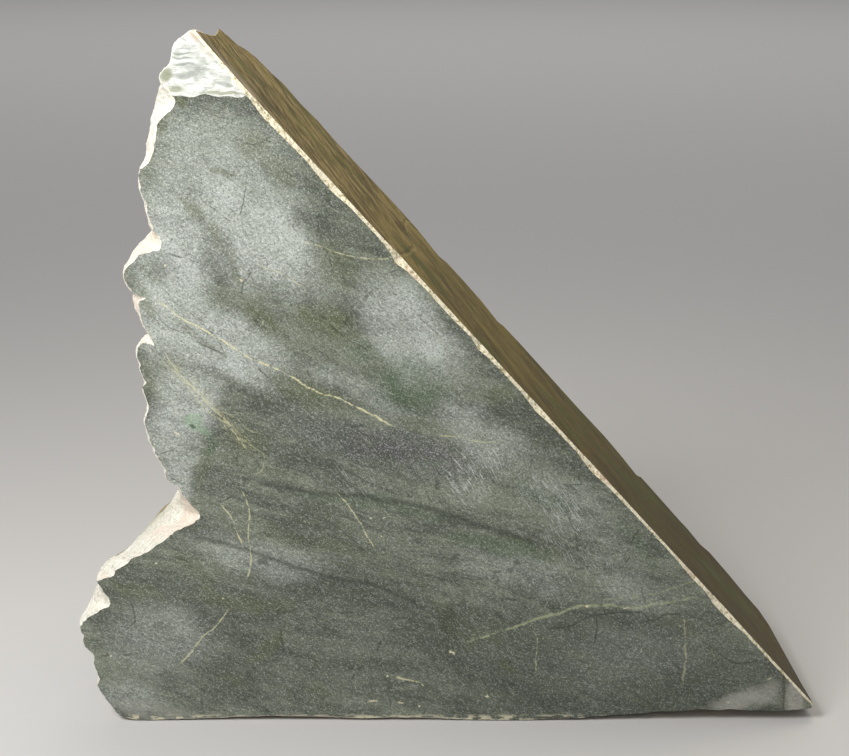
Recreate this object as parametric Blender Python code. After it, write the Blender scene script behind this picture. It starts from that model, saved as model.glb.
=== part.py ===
"""A raw nephrite jade boulder, cut down by the saw: one stone, one solid.

The stone stands on a flat sawn base. Its front is a tall sawn triangle, and a second cut runs
down the right side at a slant. The left side is the broken and weathered skin of the boulder,
with ledges and notches, and the back is its natural rounded face. The solid is a loft: each
station of the outline runs from the front edge back to the rim, and the rims close in rings
over the back.
"""

import math

import bmesh
import bpy
from mathutils import Vector, noise

MM = 0.001

# Driving dimensions, in millimetres. X runs right along the sawn front, Y goes back from it,
# and Z goes up from the base.
CORE_DEPTH = 76.0
APEX_X, APEX_Z = -74.5, 220.5
SLANT_ANGLE = math.radians(47.95)
SLANT_LENGTH = 289.0
SIDE_RINGS = 5
LEAST_STATION_GAP = 2.5
# The middle of the back, which its rings close in on.
CORE_X, CORE_Z = -34.0, 84.0
BACK_RING_STEPS = (1.5, 4.0, 8.0, 13.0, 19.0, 26.0, 34.0)
BACK_RING_SMOOTHING = 10
BACK_ROUNDING = 26.0
BACK_GRID = 7.5
# How strongly the back curves away from the core, across and up, per millimetre.
BACK_CURVE_X, BACK_CURVE_Z = 0.0011, 0.0009

# Above this height the front has spalled off, and leans back from the saw cut.
SPALL_Z = 202.0
SPALL_LEAN = 0.3

# Where the slanted cut ends at the back: distance down the cut, and depth.
SLANT_BACK_EDGE = [
    (3, 46), (7, 50), (11, 53), (14, 60), (18, 65), (26, 67), (31, 71), (39, 69), (47, 72),
    (56, 70), (70, 71), (84, 73), (97, 72), (104, 68), (108, 66), (110, 70), (120, 70),
    (130, 69), (138, 64), (141, 67), (150, 68), (165, 67), (180, 66), (195, 67), (205, 64),
    (211, 60), (214, 65), (225, 64), (232, 63), (240, 63), (246, 60), (252, 64), (262, 62),
    (271, 58), (278, 57), (282, 50),
]
# The crest dips between the apex and the back: how far, and over how much of the cut.
CREST_DIP, CREST_DIP_LENGTH = 2.6, 8.0

# Chips along the front edge of the slanted cut: distance down the cut, and width.
SLANT_CHIPS = [
    (0, 0.6), (18, 0.7), (24, 1.5), (34, 1.7), (44, 1.2), (50, 1.1), (56, 1.5), (62, 1.7),
    (69, 0.9), (82, 0.8), (87, 1.3), (90, 2.3), (94, 1.4), (102, 0.9), (112, 1.1),
    (123, 0.7), (127, 1.6), (132, 0.9), (146, 0.8), (154, 1.6), (160, 0.9), (172, 0.8),
    (182, 1.8), (188, 0.9), (203, 0.7), (217, 0.6), (229, 1.1), (235, 0.8), (241, 1.9),
    (247, 1.5), (255, 0.7), (289, 0.6),
]

# The first row behind the chips lies this share of the way across the cut.
SLANT_FIRST_ROW = 0.08

# The front edge of the base: X, height of the edge, and how far back the base begins.
BASE_FRONT = [
    (118.5, 4.6, 20), (114.8, 4.1, 22), (108, 3.6, 24), (99, 3.8, 24), (92, 4.3, 24),
    (89, 3.9, 22), (82, 4.3, 20), (76, 3.6, 17), (69, 3.4, 14), (63, 2.8, 11), (56, 2.3, 8),
    (50, 1.8, 6), (43, 1.0, 4), (37, 1.0, 3), (30, 0.6, 2), (21, 0.4, 2), (12, 0.5, 2),
    (4, 0.7, 2), (-5, 1.3, 3), (-12, 1.3, 4), (-18, 1.5, 4), (-25, 1.0, 3), (-30, 1.2, 3),
    (-38, 1.8, 4), (-47, 1.9, 5), (-57, 2.1, 6), (-64, 1.9, 5), (-70, 1.6, 4), (-78, 1.2, 3),
    (-86, 0.9, 2), (-93, 0.5, 2), (-100, 0.5, 2),
]

# Half way along its setback the edge has come down to this share of its height.
BASE_EDGE_LEFT = 0.15

# Where the base ends at the back: X and depth.
BASE_BACK_EDGE = [(-104, 40), (-85, 50), (-55, 57), (-10, 60), (50, 61), (95, 57), (114, 52)]

# The left side, from the top down. A run is its front edge, as X and Z, with the edge of its
# broken face behind, as X, depth and Z. A run with no broken face only has a chipped rim. Fall
# is how far, in X and Z, the skin behind a broken face falls away to its back.
LEFT_RUNS = [
    {  # the crest and the small lobe under it
        "edge": [
            (-75.8, 220.4), (-77.8, 219.0), (-80.3, 217.2), (-81.2, 215.0), (-81.0, 213.0),
            (-81.5, 211.0), (-83.2, 209.5), (-85.0, 207.2), (-84.3, 205.4),
        ],
        "shoulder": [(-75.5, 18, 219.4), (-81.5, 16, 212.5), (-84.8, 12, 206.6), (-85.0, 9, 204.4)],
    },
    {  # the upper broken face
        "edge": [
            (-83.0, 204.0), (-81.0, SPALL_Z), (-80.2, 200.5), (-80.4, 199.0), (-81.6, 197.6),
            (-83.7, 195.9), (-85.0, 194.6), (-85.8, 193.4), (-86.2, 189.8), (-86.6, 187.5),
            (-87.0, 185.5), (-88.0, 183.4), (-89.6, 181.2), (-91.0, 180.2),
        ],
        "shoulder": [
            (-86.4, 11, 203.4), (-87.4, 14, 201.8), (-89.2, 20, 197.6), (-89.8, 20, 194.9),
            (-90.5, 18, 192.3), (-90.3, 17, 190.5), (-91.0, 16, 187.8), (-92.1, 16, 185.3),
            (-91.4, 14, 183.3), (-91.5, 9, 181.6), (-91.8, 3, 180.1),
        ],
    },
    {  # the long shallow bulge
        "edge": [
            (-91.5, 178.5), (-91.6, 176.0), (-91.4, 174.0), (-90.6, 171.5), (-89.9, 169.6),
            (-89.7, 167.4), (-89.1, 165.6), (-89.2, 164.6), (-88.4, 162.9), (-87.9, 161.7),
        ],
    },
    {  # the first notch, its floor facing up
        "edge": [
            (-86.2, 160.4), (-85.8, 158.8), (-85.8, 157.4), (-86.3, 155.9), (-88.5, 155.5),
            (-90.1, 155.0), (-91.5, 154.8), (-92.7, 154.4), (-93.9, 152.5), (-95.6, 151.5),
            (-96.8, 150.6),
        ],
        "shoulder": [
            (-89.0, 4, 160.7), (-90.9, 10, 157.8), (-93.1, 12, 155.6), (-96.3, 12, 153.7),
            (-96.7, 9, 152.9), (-97.5, 6, 150.9), (-98.4, 5, 150.3),
        ],
    },
    {  # the round knob
        "edge": [
            (-97.5, 149.6), (-97.5, 148.0), (-97.3, 146.4), (-96.7, 144.9), (-95.9, 143.9),
            (-95.2, 142.8),
        ],
    },
    {  # the cracked ledge under the knob
        "edge": [
            (-93.0, 141.7), (-91.2, 141.2), (-93.0, 140.3), (-93.6, 139.4), (-93.3, 137.5),
            (-93.0, 135.6), (-92.7, 133.8),
        ],
        "shoulder": [
            (-96.3, 5, 141.8), (-97.8, 12, 138.6), (-97.3, 12, 136.7), (-96.4, 9, 135.4),
            (-94.7, 5, 134.3), (-93.6, 3, 132.9),
        ],
    },
    {"edge": [(-91.6, 131.6), (-90.8, 129.9)]},
    {  # the second notch
        "edge": [
            (-90.2, 128.4), (-89.3, 126.2), (-90.6, 126.7), (-92.1, 127.1), (-93.3, 126.8),
            (-94.3, 125.6),
        ],
        "shoulder": [(-91.5, 4, 129.0), (-94.7, 12, 125.6), (-96.1, 9, 124.8), (-95.7, 3, 124.7)],
    },
    {  # the long flank, nibbled along its edge
        "edge": [
            (-94.8, 123.6), (-94.6, 121.8), (-93.8, 120.8), (-94.0, 119.2), (-93.7, 117.6),
            (-92.8, 115.7), (-92.2, 114.6), (-93.4, 113.0), (-93.2, 111.2), (-92.5, 109.3),
            (-91.9, 107.4), (-92.3, 105.4), (-93.1, 103.8), (-93.6, 101.9), (-92.9, 99.9),
            (-92.4, 97.5), (-91.8, 95.2), (-90.8, 93.4), (-90.6, 91.6), (-89.4, 89.5),
            (-88.7, 87.9), (-87.4, 86.0), (-87.6, 84.9), (-87.1, 83.3), (-86.2, 82.3),
            (-84.7, 81.6), (-83.8, 80.3), (-83.1, 79.3), (-82.9, 78.0),
        ],
    },
    {  # the great broken face, facing up and left
        "edge": [
            (-81.8, 76.7), (-80.3, 75.3), (-79.1, 73.6), (-77.9, 72.3), (-77.2, 71.3),
            (-77.9, 70.0), (-79.2, 68.8), (-81.1, 67.9), (-82.6, 67.0), (-84.7, 66.2),
            (-87.0, 64.6), (-88.7, 63.1), (-90.3, 62.1), (-92.0, 61.0), (-93.3, 59.9),
            (-95.8, 58.2), (-97.5, 57.4), (-99.9, 56.5), (-100.9, 55.1), (-103.3, 53.7),
            (-105.0, 52.6), (-105.4, 51.0), (-107.6, 50.5), (-109.3, 49.7), (-110.7, 49.0),
        ],
        "shoulder": [
            (-84.6, 6, 75.6), (-88.4, 20, 69.0), (-93.8, 32, 61.4), (-96.6, 34, 58.5),
            (-99.4, 34, 55.7), (-101.9, 30, 53.3), (-104.7, 24, 51.1), (-106.9, 20, 50.3),
            (-110.3, 16, 49.4), (-111.4, 14, 48.5), (-112.2, 11, 48.2), (-112.3, 5, 48.0),
        ],
        "fall": (5.0, -9.0),
    },
    {"edge": [(-110.6, 48.1), (-110.0, 47.2)]},
    {  # the small broken face under it
        "edge": [
            (-109.1, 45.3), (-107.8, 43.4), (-107.1, 41.2), (-107.7, 40.3), (-110.0, 39.3),
            (-112.5, 37.8), (-114.6, 36.5), (-116.2, 35.0),
        ],
        "shoulder": [
            (-112.0, 6, 44.6), (-114.6, 12, 39.4), (-117.2, 15, 34.8), (-117.9, 12, 33.3),
            (-118.4, 4, 33.6),
        ],
    },
    {  # down to the base
        "edge": [
            (-117.0, 33.4), (-116.9, 31.4), (-116.1, 30.3), (-116.4, 28.2), (-116.1, 26.3),
            (-114.8, 25.1), (-113.0, 23.3), (-113.4, 20.8), (-113.0, 18.7), (-112.4, 16.4),
            (-111.9, 14.9), (-112.8, 12.8), (-112.5, 11.6), (-111.5, 9.8), (-110.4, 8.0),
            (-109.0, 6.2), (-107.9, 4.6), (-106.8, 2.9), (-105.2, 1.5), (-102.8, 0.8),
        ],
    },
]
CHIPPED_RIM = (-1.0, 3.0, -0.9)
LOWEST_RIM = 0.3

# Behind the broken faces the skin rounds over to the back: height, depth and how far it draws in.
LEFT_BACK_EDGE = [(0, 42), (30, 56), (80, 62), (130, 60), (180, 53), (221, 46)]
LEFT_DRAWN_IN = [(0, 0.12), (28, 0.17), (62, 0.17), (92, 0.12)]
# How many times each row behind the left edge is smoothed, from the front one to the rim.
LEFT_SMOOTHING = (2, 5, 10, 18, 28, 36)
LEFT_REACH = 1.7
# The row between the front edge and the shoulder lies this share of the way back.
LEFT_CHIP_ROW = 0.3

# Broad swells and hollows of the weathered back: X, Z, radius, and height off the face.
BACK_SWELLS = [
    (-70, 150, 34, 4.5), (-45, 92, 46, 4.0), (20, 55, 40, 3.5), (-86, 52, 26, -5.0),
    (-12, 118, 24, -4.0), (62, 26, 28, -3.5), (-58, 22, 30, 3.0), (-30, 166, 22, -3.0),
    (84, 14, 18, 3.0),
]

# Lumps of the weathered skin, as size across and height, and its pits.
LUMPS = [(31.0, 1.9), (13.0, 1.1)]
PIT_SIZE, PIT_DEPTH, PIT_START = 9.0, 2.4, 0.28
SKIN_ABOVE_BASE = 0.4


def along(points, t):
    """The point at t, from 0 to 1, along a list of points, counted by their number."""
    place = t * (len(points) - 1)
    index = min(int(place), len(points) - 2)
    part = place - index
    return tuple(a + (b - a) * part for a, b in zip(points[index], points[index + 1]))


def at(table, key):
    """The value at key in a table of (key, value) rows, on straight lines between them."""
    rows = sorted(table)
    if key <= rows[0][0]:
        return rows[0][1]
    for (low, first), (high, second) in zip(rows, rows[1:]):
        if key <= high:
            return first + (second - first) * (key - low) / (high - low)
    return rows[-1][1]


def on_slant(distance, depth, drop=0.0):
    """A point of the slanted cut, or one that lies a drop below it, square to the cut."""
    x = APEX_X + distance * math.cos(SLANT_ANGLE) - drop * math.sin(SLANT_ANGLE)
    z = APEX_Z - distance * math.sin(SLANT_ANGLE) - drop * math.cos(SLANT_ANGLE)
    return Vector((x, depth, z))


def spall(z):
    """How far back the front lies at this height."""
    return SPALL_LEAN * max(z - SPALL_Z, 0.0)


def run_back(first, rim, reach=1.0, dip=0.0):
    """The points between a front point and its rim.

    A reach above 1 keeps them out before they draw in, and a dip slides the middle ones down
    the slanted cut.
    """
    points = []
    for ring in range(1, SIDE_RINGS + 1):
        t = ring / (SIDE_RINGS + 1)
        point = first.lerp(rim, t ** reach)
        point.y = first.y + (rim.y - first.y) * t
        slide = dip * math.sin(math.pi * t)
        point.x += slide * math.cos(SLANT_ANGLE)
        point.z -= slide * math.sin(SLANT_ANGLE)
        points.append(point)
    return points


def slant_distances():
    """The stations down the slanted cut: one at each chip and dent, and at the spall's foot."""
    foot = (APEX_Z - SPALL_Z) / math.sin(SLANT_ANGLE)
    marks = [foot] + [row[0] for row in SLANT_CHIPS] + [row[0] for row in SLANT_BACK_EDGE]
    kept = [0.0]
    for mark in sorted(marks):
        clear = min(mark - kept[-1], abs(mark - foot))
        if mark == foot or clear > LEAST_STATION_GAP:
            kept.append(mark)
    kept[-1] = SLANT_LENGTH
    return kept


def slant_stations():
    """The stations of the slanted cut, from the apex down to the tip."""
    stations = []
    for distance in slant_distances():
        chip = at(SLANT_CHIPS, distance)
        front = on_slant(distance, 0.0, chip)
        front.y = spall(front.z)
        edge = on_slant(distance, front.y + chip)
        end = min(max(distance, SLANT_BACK_EDGE[0][0]), SLANT_BACK_EDGE[-1][0])
        rim = on_slant(end, at(SLANT_BACK_EDGE, end))
        first = edge.lerp(rim, SLANT_FIRST_ROW)
        dip = CREST_DIP * max(1.0 - distance / CREST_DIP_LENGTH, 0.0)
        stations.append([front, edge, first] + run_back(first, rim, dip=dip) + [rim])
    return stations


def base_stations():
    """The stations of the flat base, from the tip to the left corner."""
    stations = []
    for x, height, setback in BASE_FRONT:
        front = Vector((x, 0.0, height))
        edge = Vector((x, setback / 2, BASE_EDGE_LEFT * height))
        first = Vector((x, setback, 0.0))
        rim = Vector((min(x, BASE_BACK_EDGE[-1][0]), at(BASE_BACK_EDGE, x), 0.0))
        stations.append([front, edge, first] + run_back(first, rim) + [rim])
    return stations


def left_outline():
    """Front edge, shoulder and rough rim of the left side, from the top down."""
    edge = []
    shoulder = []
    rims = []
    for run in LEFT_RUNS:
        fall_x, fall_z = run.get("fall", (0.0, 0.0))
        for index, (x, z) in enumerate(run["edge"]):
            front = Vector((x, spall(z), z))
            edge.append(front)
            if "shoulder" in run:
                t = index / (len(run["edge"]) - 1)
                behind = Vector(along(run["shoulder"], t))
            else:
                behind = front + Vector(CHIPPED_RIM)
                behind.z = max(behind.z, LOWEST_RIM)
            shoulder.append(behind)
            rims.append(behind + Vector((fall_x, 0.0, fall_z)))
    return edge, shoulder, rims


def smoothed(points, passes):
    """The points with each drawn to the middle of its neighbours, with both ends kept."""
    points = [point.copy() for point in points]
    for _ in range(passes):
        middle = [(a + b) / 2 for a, b in zip(points, points[2:])]
        points = points[:1] + [p.lerp(m, 0.6) for p, m in zip(points[1:], middle)] + points[-1:]
    return points


def evened(loop, passes):
    """The points of a closed loop, each drawn to the middle of its neighbours."""
    for _ in range(passes):
        before = loop[-1:] + loop[:-1]
        after = loop[1:] + loop[:1]
        loop = [p.lerp((a + b) / 2, 0.5) for p, a, b in zip(loop, before, after)]
    return loop


def drawn_in(rim):
    """A point of the left rim, at its depth and drawn in towards the core."""
    core = Vector((CORE_X, 0.0, CORE_Z))
    point = rim.lerp(core, at(LEFT_DRAWN_IN, rim.z))
    point.y = at(LEFT_BACK_EDGE, rim.z)
    return point


def left_stations():
    """The stations of the rough side, from the bottom up."""
    edge, shoulder, rims = left_outline()
    chipped = [front.lerp(first, LEFT_CHIP_ROW) for front, first in zip(edge, shoulder)]
    rims = [drawn_in(rim) for rim in smoothed(rims, LEFT_SMOOTHING[-1])]
    behind = [run_back(first, rim, LEFT_REACH) for first, rim in zip(shoulder, rims)]
    rows = [edge, chipped, shoulder]
    for row, passes in zip(zip(*behind), LEFT_SMOOTHING):
        rows.append(smoothed(row, passes))
    rows.append(rims)
    return [list(station) for station in zip(*rows)][::-1]


def back_depth(x, z):
    """The depth of the weathered back at this place, before its fine lumps."""
    depth = CORE_DEPTH
    depth -= BACK_CURVE_X * (x - CORE_X) ** 2 / 2 + BACK_CURVE_Z * (z - CORE_Z) ** 2 / 2
    for swell_x, swell_z, radius, height in BACK_SWELLS:
        away = math.hypot(x - swell_x, z - swell_z) / radius
        depth += height * math.exp(-away * away)
    return depth


def back_rings(rims):
    """Rings drawn in from the rims towards the middle of the back, evener from ring to ring."""
    core = Vector((CORE_X, 0.0, CORE_Z))
    outline = rims
    rings = []
    for step in BACK_RING_STEPS:
        outline = evened(outline, BACK_RING_SMOOTHING)
        points = []
        for rim in outline:
            inwards = core - rim
            inwards.y = 0.0
            point = rim + inwards.normalized() * step
            rise = math.sin(min(step / BACK_ROUNDING, 1.0) * math.pi / 2)
            point.y = rim.y + (back_depth(point.x, point.z) - rim.y) * rise
            points.append(point)
        rings.append(points)
    return rings


def weathering(point):
    """How far the skin stands out at this point: lumps, and pits where the skin has worn."""
    height = 0.0
    for size, rise in LUMPS:
        height += rise * noise.noise(point / size)
    pit = noise.noise(point / PIT_SIZE)
    return height - PIT_DEPTH * max(pit - PIT_START, 0.0)


def add_ring_faces(bm, ring, following):
    """Four-sided faces between two closed rings of vertices."""
    for index in range(len(ring)):
        after = (index + 1) % len(ring)
        bm.faces.new((ring[index], ring[after], following[after], following[index]))


def add_front(bm, ring):
    """The sawn front, and the spalled face over it, which meet on one straight line."""
    foot = [index for index, vert in enumerate(ring) if abs(vert.co.z - SPALL_Z) < 0.01]
    right, left = foot
    bm.faces.new(ring[right:left + 1])
    bm.faces.new(ring[left:] + ring[:right + 1])


def add_back(bm, ring):
    """The middle of the back, in small cells that follow its swells. Returns its vertices."""
    made = [bm.faces.new(ring)]
    cells = made + list(made[0].edges) + list(made[0].verts)
    for axis in (0, 2):
        low = min(vert.co[axis] for vert in ring)
        high = max(vert.co[axis] for vert in ring)
        normal = Vector((axis == 0, 0.0, axis == 2))
        for line in range(1, int((high - low) / BACK_GRID)):
            cut = normal * (low + line * BACK_GRID)
            found = bmesh.ops.bisect_plane(bm, geom=cells, plane_co=cut, plane_no=normal)
            cells = found["geom"]
    verts = [item for item in cells if isinstance(item, bmesh.types.BMVert)]
    for vert in verts:
        vert.co.y = back_depth(vert.co.x, vert.co.z)
    return verts


def settle_spall_foot(stations):
    """Puts the right end of the spall's lower line at its exact height, on the front."""
    nearest = min(stations, key=lambda station: abs(station[0].z - SPALL_Z))
    nearest[0].z = SPALL_Z
    nearest[0].y = 0.0


def stone_mesh():
    """The closed surface of the stone."""
    slant = slant_stations()
    settle_spall_foot(slant)
    stations = slant + base_stations() + left_stations()
    fixed = len(slant) + len(BASE_FRONT)
    bm = bmesh.new()
    rings = [[bm.verts.new(point) for point in ring] for ring in zip(*stations)]
    skin = [vert for ring in rings[3:] for vert in ring[fixed + 1:]]
    for points in back_rings([station[-1] for station in stations]):
        rings.append([bm.verts.new(point) for point in points])
        skin += rings[-1]
    for ring, following in zip(rings, rings[1:]):
        add_ring_faces(bm, ring, following)
    skin += [vert for vert in add_back(bm, rings[-1]) if vert not in rings[-1]]
    add_front(bm, rings[0])
    bmesh.ops.recalc_face_normals(bm, faces=bm.faces)
    bm.normal_update()
    moves = [(vert, vert.normal * weathering(vert.co)) for vert in skin]
    for vert, move in moves:
        vert.co += move
        vert.co.z = max(vert.co.z, SKIN_ABOVE_BASE)
    return bm


def centre_on_base(bm):
    """Puts the origin under the middle of the stone, at the base, in metres."""
    lows = [min(vert.co[axis] for vert in bm.verts) for axis in range(3)]
    highs = [max(vert.co[axis] for vert in bm.verts) for axis in range(3)]
    middle = Vector(((lows[0] + highs[0]) / 2, (lows[1] + highs[1]) / 2, lows[2]))
    for vert in bm.verts:
        vert.co = (vert.co - middle) * MM


def jade_material():
    """Grey-green nephrite with a sawn, unpolished surface."""
    material = bpy.data.materials.new("nephrite")
    material.use_nodes = True
    shader = material.node_tree.nodes["Principled BSDF"]
    shader.inputs["Base Color"].default_value = (0.235, 0.262, 0.225, 1.0)
    shader.inputs["Roughness"].default_value = 0.55
    shader.inputs["Metallic"].default_value = 0.0
    return material


def jade_boulder():
    """The stone as one object."""
    bm = stone_mesh()
    centre_on_base(bm)
    mesh = bpy.data.meshes.new("jade_boulder")
    bm.to_mesh(mesh)
    bm.free()
    mesh.materials.append(jade_material())
    stone = bpy.data.objects.new("jade_boulder", mesh)
    bpy.context.scene.collection.objects.link(stone)


for leftover in list(bpy.data.objects):
    bpy.data.objects.remove(leftover, do_unlink=True)
jade_boulder()
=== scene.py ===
import math

import bmesh
import bpy
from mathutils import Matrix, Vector, noise


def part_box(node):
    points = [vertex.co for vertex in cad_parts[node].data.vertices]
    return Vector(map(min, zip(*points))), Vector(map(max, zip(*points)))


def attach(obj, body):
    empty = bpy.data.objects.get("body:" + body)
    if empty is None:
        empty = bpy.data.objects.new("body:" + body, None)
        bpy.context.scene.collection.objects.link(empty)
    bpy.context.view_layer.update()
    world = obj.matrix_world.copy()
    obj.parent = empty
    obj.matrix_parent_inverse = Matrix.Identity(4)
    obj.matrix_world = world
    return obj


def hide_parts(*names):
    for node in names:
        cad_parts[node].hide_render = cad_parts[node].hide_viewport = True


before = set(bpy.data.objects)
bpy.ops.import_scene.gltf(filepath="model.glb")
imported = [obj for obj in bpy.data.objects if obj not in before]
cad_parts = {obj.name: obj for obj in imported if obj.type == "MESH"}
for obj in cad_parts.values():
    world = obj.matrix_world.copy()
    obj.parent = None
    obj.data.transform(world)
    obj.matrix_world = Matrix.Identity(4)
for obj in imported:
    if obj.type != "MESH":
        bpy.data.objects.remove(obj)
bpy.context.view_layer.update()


# ---- The block ----------------------------------------------------------------------------------
# One piece of nephrite, sawn from a boulder. Its front, slanted side and base are flat saw cuts,
# the top corner has spalled off, and all the rest is as it broke or weathered. Handling has
# chipped the two long arrises of the slanted side.

STONE_LOW, STONE_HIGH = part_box("jade_boulder")
FRONT = STONE_LOW.y
APEX = Vector((-0.07483, FRONT, 0.2205))
SLANT = math.radians(47.95)
SLANT_NORMAL = Vector((math.sin(SLANT), 0.0, math.cos(SLANT)))
SPALL_FOOT = 0.202
SPALL_NORMAL = Vector((0.0, -1.0, 0.3)).normalized()
SAWN_FRONT, SAWN_SLANT, SAWN_BASE, SPALL, CHIPS, ROUGH = range(6)
CUTS = {
    SAWN_FRONT: (Vector((0.0, FRONT, 0.0)), Vector((0.0, -1.0, 0.0))),
    SAWN_SLANT: (APEX, SLANT_NORMAL),
    SAWN_BASE: (Vector((0.0, 0.0, 0.0)), Vector((0.0, 0.0, -1.0))),
}
MM = 0.001
WELD = 0.000002

bpy.ops.object.select_all(action="DESELECT")
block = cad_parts["jade_boulder"].copy()
block.data = block.data.copy()
block.name = "jade_stone"
block.parent = None
bpy.context.scene.collection.objects.link(block)
block.select_set(True)
bpy.context.view_layer.objects.active = block
bpy.ops.object.mode_set(mode="EDIT")
bpy.ops.mesh.select_all(action="SELECT")
bpy.ops.mesh.remove_doubles(threshold=WELD)
bpy.ops.object.mode_set(mode="OBJECT")

# A face belongs to a cut when it looks the same way and lies on it. The chips of the front arris
# lie just under the slant, near the front, and lean to the right.
SAME_WAY = 0.9996
SPALL_WAY = 0.9995
ON_CUT = 0.0002
CHIP_DROP = 0.0025
CHIP_REACH = 0.008
CHIP_LEAN = 0.2


def surface_of(face):
    """Which of the stone's surfaces a face of the block belongs to."""
    centre, normal = face.center, face.normal
    for surface, (point, outward) in CUTS.items():
        if normal.dot(outward) > SAME_WAY and abs((centre - point).dot(outward)) < ON_CUT:
            return surface
    if normal.dot(SPALL_NORMAL) > SPALL_WAY and centre.z > SPALL_FOOT:
        return SPALL
    under_slant = (APEX - centre).dot(SLANT_NORMAL)
    if under_slant < CHIP_DROP and centre.y < FRONT + CHIP_REACH and normal.x > CHIP_LEAN:
        return CHIPS
    return ROUGH


block.data.materials.clear()
for name in ("sawn_front", "sawn_slant", "sawn_base", "spall", "chips", "rough"):
    block.data.materials.append(bpy.data.materials.new(name))
for face in block.data.polygons:
    face.material_index = surface_of(face)

stone = bmesh.new()
stone.from_mesh(block.data)
for surface in CUTS:
    cut = {face for face in stone.faces if face.material_index == surface}
    inner = [edge for edge in stone.edges if all(face in cut for face in edge.link_faces)]
    bmesh.ops.dissolve_edges(stone, edges=inner, use_verts=True)

# The far arris of the slanted side has lost its edge in small chips too.
FAR_ARRIS_FROM = 0.006
ARRIS_WIDTH = 0.0009
arris = []
for edge in stone.edges:
    meeting = {face.material_index for face in edge.link_faces}
    nearest = min(vert.co.y for vert in edge.verts)
    if meeting == {SAWN_SLANT, ROUGH} and nearest > FRONT + FAR_ARRIS_FROM:
        arris.append(edge)
bmesh.ops.bevel(
    stone, geom=arris, offset=ARRIS_WIDTH, offset_type="OFFSET", segments=1, profile=0.5,
    affect="EDGES", clamp_overlap=True, material=CHIPS,
)

# Every rough face is cut finer, down to the longest edge that its own detail needs.
GRAIN = {SPALL: 0.0007, CHIPS: 0.0006, ROUGH: 0.0013}
FRESH_GRAIN = 0.0010
FRESH_DEPTH = 0.034
LONGEST = 1.4
ROUNDS_OF_CUTTING = 4


def grain_of(face):
    """The edge length that a rough face wants: the fresh breaks are finer than the skin."""
    if face.material_index == ROUGH and face.calc_center_median().y < FRONT + FRESH_DEPTH:
        return FRESH_GRAIN
    return GRAIN[face.material_index]


for _ in range(ROUNDS_OF_CUTTING):
    long_edges = []
    for edge in stone.edges:
        grains = [grain_of(face) for face in edge.link_faces if face.material_index in GRAIN]
        if grains and edge.calc_length() > LONGEST * min(grains):
            long_edges.append(edge)
    bmesh.ops.subdivide_edges(stone, edges=long_edges, cuts=1)
    uneven = [face for face in stone.faces if face.material_index in GRAIN and len(face.verts) > 3]
    bmesh.ops.triangulate(stone, faces=uneven, quad_method="SHORT_EDGE")

# The cutting leaves its points in no fixed order, so the stone is put together again in order of
# place. Some edges are still cut otherwise from run to run, by hundredths of a millimetre.
places = sorted(tuple(vert.co) for vert in stone.verts)
number = {place: index for index, place in enumerate(places)}
walls = []
for face in stone.faces:
    ring = [number[tuple(vert.co)] for vert in face.verts]
    first = ring.index(min(ring))
    walls.append((ring[first:] + ring[:first], face.material_index))
walls.sort()
stone.free()
stone = bmesh.new()
fresh_layer = stone.verts.layers.float.new("fresh")
relief_layer = stone.verts.layers.float.new("relief")
points = [stone.verts.new(place) for place in places]
for ring, surface in walls:
    stone.faces.new([points[index] for index in ring]).material_index = surface

# The facets of the block are worn off its rough faces. A point on a cut stays on it.
ROUNDS_OF_WEAR = 5
on_cuts = {}
for vert in stone.verts:
    touching = {face.material_index for face in vert.link_faces if face.material_index in CUTS}
    on_cuts[vert] = [CUTS[surface][1] for surface in sorted(touching)]
loose = [vert for vert in stone.verts if not on_cuts[vert]]
for _ in range(ROUNDS_OF_WEAR):
    bmesh.ops.smooth_vert(
        stone, verts=loose, factor=0.5, use_axis_x=True, use_axis_y=True, use_axis_z=True,
    )


def splinters(place, size, seed):
    """Height of flat splinters, each leaning its own way, as nephrite breaks."""
    spot = Vector((place.x / size[0] + seed, place.y / size[1], place.z / size[2]))
    centre = noise.voronoi(spot)[1][0]
    return (spot - centre).dot(noise.noise_vector(centre * 7.31 + Vector((seed, 0.5, 0.5))))


def lumps(place, size, seed):
    """Height of rounded lumps of about the given size."""
    return noise.noise(place / size + Vector((seed, seed * 0.7, -seed)))


def pits(place, size, seed):
    """Depth of small round pits, from 0 between them to 1 at the bottom of the deepest."""
    spot = place / size + Vector((seed, 0.0, 0.0))
    gap, centre = noise.voronoi(spot)[0][0], noise.voronoi(spot)[1][0]
    reach = 0.18 + 0.5 * max(0.0, noise.noise(centre * 3.7))
    return max(0.0, 1.0 - gap / reach) ** 0.7 if reach > 0.2 else 0.0


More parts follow.
